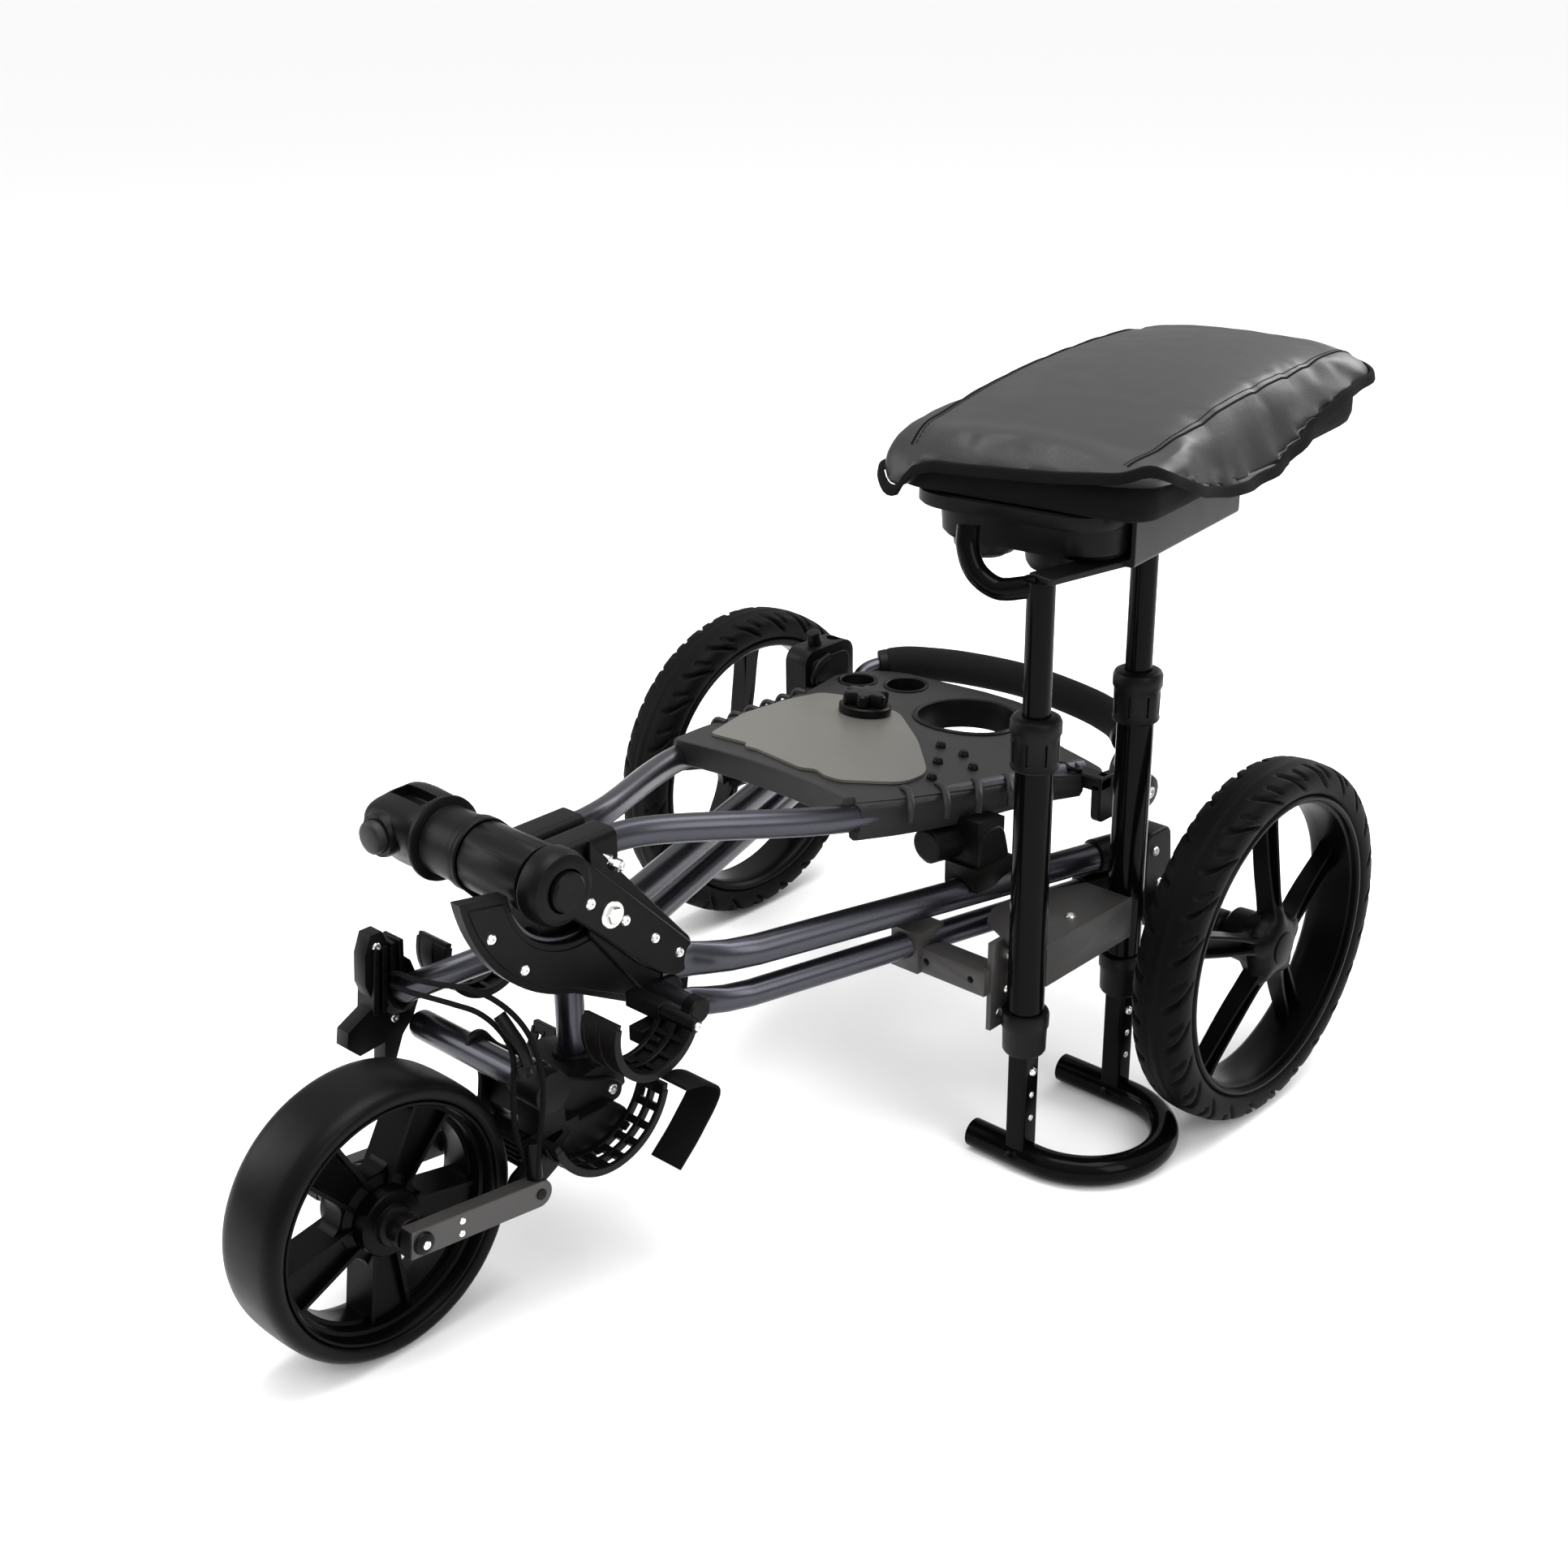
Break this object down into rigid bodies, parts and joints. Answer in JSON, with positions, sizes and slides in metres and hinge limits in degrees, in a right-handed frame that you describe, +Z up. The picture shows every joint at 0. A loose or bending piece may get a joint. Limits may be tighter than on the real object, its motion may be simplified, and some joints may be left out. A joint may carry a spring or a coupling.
{
  "type": "folded three-wheel push buggy with clip-on seat",
  "caption": "Folded push buggy with three wheels, a console and a hooped handle, and a padded seat that stands on telescopic legs beside it.",
  "frame": {"origin": "middle of the footprint box, on the floor", "axes": "+X towards the seat's side, -Y towards the front wheel, +Z up"},
  "size_m": [0.6, 0.964, 0.5604],
  "materials": {
    "tyre_rubber": "matte black tread rubber",
    "soft_rubber": "matte black rubber",
    "black_plastic": "satin black moulding",
    "charcoal_plastic": "dark charcoal satin moulding",
    "grey_panel": "satin titanium grey",
    "grey_tube": "blue-grey anodised tube",
    "grey_paint": "satin dark grey paint",
    "gloss_black": "gloss black powder coat",
    "bright_steel": "bright plated steel",
    "foam": "closed-cell foam sleeve",
    "leatherette": "soft charcoal vinyl",
    "webbing": "woven black"
  },
  "bodies": {
    "chassis": {"lower_knuckle": "black_plastic", "down_tube": "grey_tube", "front_cross_bar": "grey_tube", "rubber_bumper": "soft_rubber", "lower_cradle_left": "black_plastic", "lower_cradle_right": "black_plastic", "bag_saddle_left": "black_plastic", "bag_saddle_right": "black_plastic", "bag_rest": "black_plastic", "bag_rest_tube": "grey_tube", "cradle_strap": "webbing", "main_housing": "black_plastic", "side_plate_left": "black_plastic", "side_plate_right": "black_plastic", "pivot_pin": "black_plastic", "cross_pin": "grey_tube", "upper_bar_left": "grey_tube", "upper_bar_right": "grey_tube", "lower_bar_left": "grey_tube", "lower_bar_right": "grey_tube", "leg_end_left": "black_plastic", "leg_end_right": "black_plastic", "rear_axle_left": "bright_steel", "rear_axle_right": "bright_steel", "seat_bracket": "grey_paint", "seat_tube_front": "gloss_black", "seat_tube_rear": "gloss_black", "upper_collar_front": "black_plastic", "upper_collar_rear": "black_plastic", "lower_collar_front": "black_plastic", "lower_collar_rear": "black_plastic", "elastic_cord": "webbing", "elastic_cord_inner": "webbing"},
    "fork": {"fork_arm_left": "grey_tube", "fork_arm_right": "grey_tube", "front_axle": "black_plastic"},
    "front_wheel": {"front_tyre": "tyre_rubber", "front_rim": "black_plastic"},
    "rear_wheel_left": {"rear_tyre_left": "tyre_rubber", "rear_rim_left": "black_plastic"},
    "rear_wheel_right": {"rear_tyre_right": "tyre_rubber", "rear_rim_right": "black_plastic"},
    "handle_frame": {"joint_yoke": "black_plastic", "handle_tube_left": "grey_tube", "handle_tube_right": "grey_tube", "console_tray": "charcoal_plastic", "console_panel": "grey_panel", "latch_clip": "black_plastic", "umbrella_holder": "black_plastic"},
    "lock_knob": {"lock_knob": "black_plastic"},
    "lock_button": {"lock_button": "charcoal_plastic"},
    "console_knob": {"console_knob": "black_plastic"},
    "handle_loop": {"handle_loop": "grey_tube", "handle_grip": "foam"},
    "seat": {"seat_frame": "gloss_black", "seat_tray": "black_plastic", "seat_pad": "leatherette"},
    "seat_foot": {"seat_foot": "gloss_black"},
    "snap_button_front": {"snap_button_front": "bright_steel"},
    "snap_button_rear": {"snap_button_rear": "bright_steel"}
  },
  "joints": [
    {"name": "front_wheel_spin", "type": "hinge", "parent": "fork", "child": "front_wheel", "pos_m": [0, -0.38204, 0.1], "axis": [1, 0, 0], "continuous": true},
    {"name": "fork_fold", "type": "hinge", "parent": "chassis", "child": "fork", "pos_m": [0, -0.28204, 0.087], "axis": [1, 0, 0], "range_deg": [0, 80]},
    {"name": "rear_wheel_left_spin", "type": "hinge", "parent": "chassis", "child": "rear_wheel_left", "pos_m": [-0.274, 0.26596, 0.145], "axis": [1, 0, 0], "continuous": true},
    {"name": "rear_wheel_right_spin", "type": "hinge", "parent": "chassis", "child": "rear_wheel_right", "pos_m": [0.274, 0.26596, 0.145], "axis": [1, 0, 0], "continuous": true},
    {"name": "handle_fold", "type": "hinge", "parent": "chassis", "child": "handle_frame", "pos_m": [0, -0.24204, 0.3], "axis": [1, 0, 0], "range_deg": [0, 10]},
    {"name": "lock_knob_turn", "type": "hinge", "parent": "chassis", "child": "lock_knob", "pos_m": [-0.077, -0.24204, 0.3], "axis": [1, 0, 0], "range_deg": [0, 60]},
    {"name": "lock_button_press", "type": "slide", "parent": "lock_knob", "child": "lock_button", "axis": [0, 1, 0], "range_m": [0, 0.004], "stiffness_N_per_m": 300, "springref_m": -0.002},
    {"name": "console_knob_turn", "type": "hinge", "parent": "handle_frame", "child": "console_knob", "pos_m": [-0.05, 0.17494, 0.27778], "axis": [0, 0.1236, 0.9923], "continuous": true},
    {"name": "handle_loop_tilt", "type": "hinge", "parent": "handle_frame", "child": "handle_loop", "pos_m": [0, 0.26796, 0.238], "axis": [1, 0, 0], "range_deg": [-60, 3]},
    {"name": "seat_height", "type": "slide", "parent": "chassis", "child": "seat", "axis": [0, 0, 1], "range_m": [-0.03, 0.04]},
    {"name": "seat_foot_slide", "type": "slide", "parent": "chassis", "child": "seat_foot", "axis": [0, 0, 1], "range_m": [-0.05, 0]},
    {"name": "snap_button_front_press", "type": "slide", "parent": "seat_foot", "child": "snap_button_front", "axis": [-1, 0, 0], "range_m": [0, 0.0025], "stiffness_N_per_m": 300, "springref_m": -0.002},
    {"name": "snap_button_rear_press", "type": "slide", "parent": "seat_foot", "child": "snap_button_rear", "axis": [-1, 0, 0], "range_m": [0, 0.0025], "stiffness_N_per_m": 300, "springref_m": -0.002}
  ]
}
